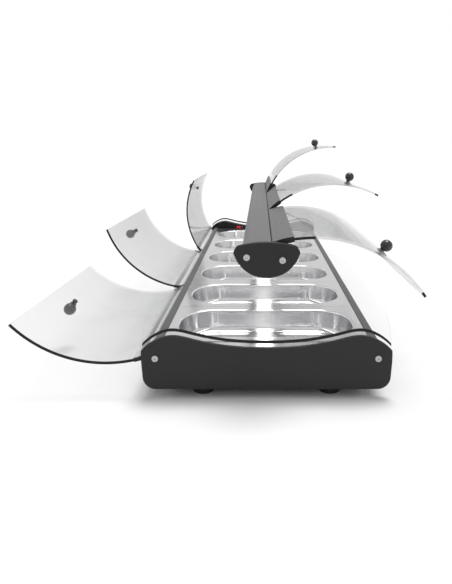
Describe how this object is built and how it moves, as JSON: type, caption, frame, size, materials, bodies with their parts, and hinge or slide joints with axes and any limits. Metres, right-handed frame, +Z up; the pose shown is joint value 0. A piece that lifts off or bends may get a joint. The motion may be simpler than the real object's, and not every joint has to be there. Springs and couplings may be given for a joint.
{
  "type": "refrigerated display case",
  "caption": "Countertop refrigerated display case: removable pans in a cooled well, hinged curved glass flaps along both sides of a central lit beam.",
  "frame": {"origin": "centre of the underbody's flat underside, which stands 12 mm above the worktop on feet", "axes": "+X across the case towards the side whose flaps hang on the beam, +Y along its length towards the controls, +Z up"},
  "size_m": [0.6542, 1.1644, 0.403],
  "materials": {
    "dark_metal": "satin powder coat",
    "dark_plastic": "fine grain",
    "grey_aluminium": "grey satin anodised",
    "rail_aluminium": "dark grey satin anodised",
    "foam": "rigid foam",
    "stainless": "brushed",
    "copper_tube": "drawn copper",
    "black_rubber": "matt",
    "clear_glass": "clear",
    "door_glass": "clear",
    "clear_profile": "clear extruded plastic",
    "screw_steel": "satin",
    "led_white": "lit",
    "diffuser": "opal",
    "thermostat_face": "gloss",
    "black_gloss": "gloss",
    "rocker_red": "gloss",
    "button_grey": "matt"
  },
  "bodies": {
    "case": {"underbody": "dark_metal", "insulation": "foam", "well_liner": "stainless", "side_panel_left": "rail_aluminium", "side_panel_right": "rail_aluminium", "evaporator_coil": "copper_tube", "feet": "black_rubber", "end_plate_near": "dark_metal", "end_plate_far": "dark_metal", "end_glass_near": "clear_glass", "end_glass_far": "clear_glass", "end_trims": "black_rubber", "end_screws": "screw_steel", "spine_beam": "grey_aluminium", "spine_cap_near": "dark_plastic", "spine_cap_far": "dark_plastic", "hinge_rods": "screw_steel", "led_strip": "led_white", "light_diffuser": "diffuser", "control_housing": "dark_plastic", "thermostat": "thermostat_face", "power_inlet": "black_gloss"},
    "power_rocker": {"power_rocker": "rocker_red"},
    "thermostat_button": {"thermostat_button": "button_grey"},
    "left_door_1": {"left_door_1_glass": "door_glass", "left_door_1_hinge_profile": "clear_profile", "left_door_1_profile_caps": "dark_plastic", "left_door_1_edge_seals": "black_rubber", "left_door_1_knob": "black_gloss"},
    "left_door_2": {"left_door_2_glass": "door_glass", "left_door_2_hinge_profile": "clear_profile", "left_door_2_profile_caps": "dark_plastic", "left_door_2_edge_seals": "black_rubber", "left_door_2_knob": "black_gloss"},
    "left_door_3": {"left_door_3_glass": "door_glass", "left_door_3_hinge_profile": "clear_profile", "left_door_3_profile_caps": "dark_plastic", "left_door_3_edge_seals": "black_rubber", "left_door_3_knob": "black_gloss"},
    "right_door_1": {"right_door_1_glass": "door_glass", "right_door_1_hinge_profile": "grey_aluminium", "right_door_1_profile_caps": "dark_plastic", "right_door_1_edge_seals": "black_rubber", "right_door_1_knob": "black_gloss"},
    "right_door_2": {"right_door_2_glass": "door_glass", "right_door_2_hinge_profile": "grey_aluminium", "right_door_2_profile_caps": "dark_plastic", "right_door_2_edge_seals": "black_rubber", "right_door_2_knob": "black_gloss"},
    "right_door_3": {"right_door_3_glass": "door_glass", "right_door_3_hinge_profile": "grey_aluminium", "right_door_3_profile_caps": "dark_plastic", "right_door_3_edge_seals": "black_rubber", "right_door_3_knob": "black_gloss"},
    "pan_1": {"pan_1": "stainless"},
    "pan_2": {"pan_2": "stainless"},
    "pan_3": {"pan_3": "stainless"},
    "pan_4": {"pan_4": "stainless"},
    "pan_5": {"pan_5": "stainless"},
    "pan_6": {"pan_6": "stainless"}
  },
  "joints": [
    {"name": "left_door_1_hinge", "type": "hinge", "parent": "case", "child": "left_door_1", "pos_m": [-0.1869, -0.38, 0.052], "axis": [0, 1, 0], "range_deg": [0, 118.3]},
    {"name": "left_door_2_hinge", "type": "hinge", "parent": "case", "child": "left_door_2", "pos_m": [-0.1869, 0, 0.052], "axis": [0, 1, 0], "range_deg": [-24.7, 93.6]},
    {"name": "left_door_3_hinge", "type": "hinge", "parent": "case", "child": "left_door_3", "pos_m": [-0.1869, 0.38, 0.052], "axis": [0, 1, 0], "range_deg": [-71.2, 47.1]},
    {"name": "right_door_1_hinge", "type": "hinge", "parent": "case", "child": "right_door_1", "pos_m": [0.012, -0.38, 0.227], "axis": [0, 1, 0], "range_deg": [-54.4, 24.2]},
    {"name": "right_door_2_hinge", "type": "hinge", "parent": "case", "child": "right_door_2", "pos_m": [0.012, 0, 0.227], "axis": [0, 1, 0], "range_deg": [-26.8, 51.8]},
    {"name": "right_door_3_hinge", "type": "hinge", "parent": "case", "child": "right_door_3", "pos_m": [0.012, 0.38, 0.227], "axis": [0, 1, 0], "range_deg": [0, 78.6]},
    {"name": "pan_1_lift", "type": "slide", "parent": "case", "child": "pan_1", "axis": [0, 0, 1], "range_m": [0, 0.045]},
    {"name": "pan_2_lift", "type": "slide", "parent": "case", "child": "pan_2", "axis": [0, 0, 1], "range_m": [0, 0.045]},
    {"name": "pan_3_lift", "type": "slide", "parent": "case", "child": "pan_3", "axis": [0, 0, 1], "range_m": [0, 0.045]},
    {"name": "pan_4_lift", "type": "slide", "parent": "case", "child": "pan_4", "axis": [0, 0, 1], "range_m": [0, 0.045]},
    {"name": "pan_5_lift", "type": "slide", "parent": "case", "child": "pan_5", "axis": [0, 0, 1], "range_m": [0, 0.045]},
    {"name": "pan_6_lift", "type": "slide", "parent": "case", "child": "pan_6", "axis": [0, 0, 1], "range_m": [0, 0.045]},
    {"name": "power_rocker_tip", "type": "hinge", "parent": "case", "child": "power_rocker", "pos_m": [0.1335, 0.575, 0.028], "axis": [1, 0, 0], "range_deg": [-16, 0]},
    {"name": "thermostat_button_press", "type": "slide", "parent": "case", "child": "thermostat_button", "axis": [0, 1, 0], "range_m": [0, 0.0008], "stiffness_N_per_m": 400, "springref_m": -0.0008}
  ]
}
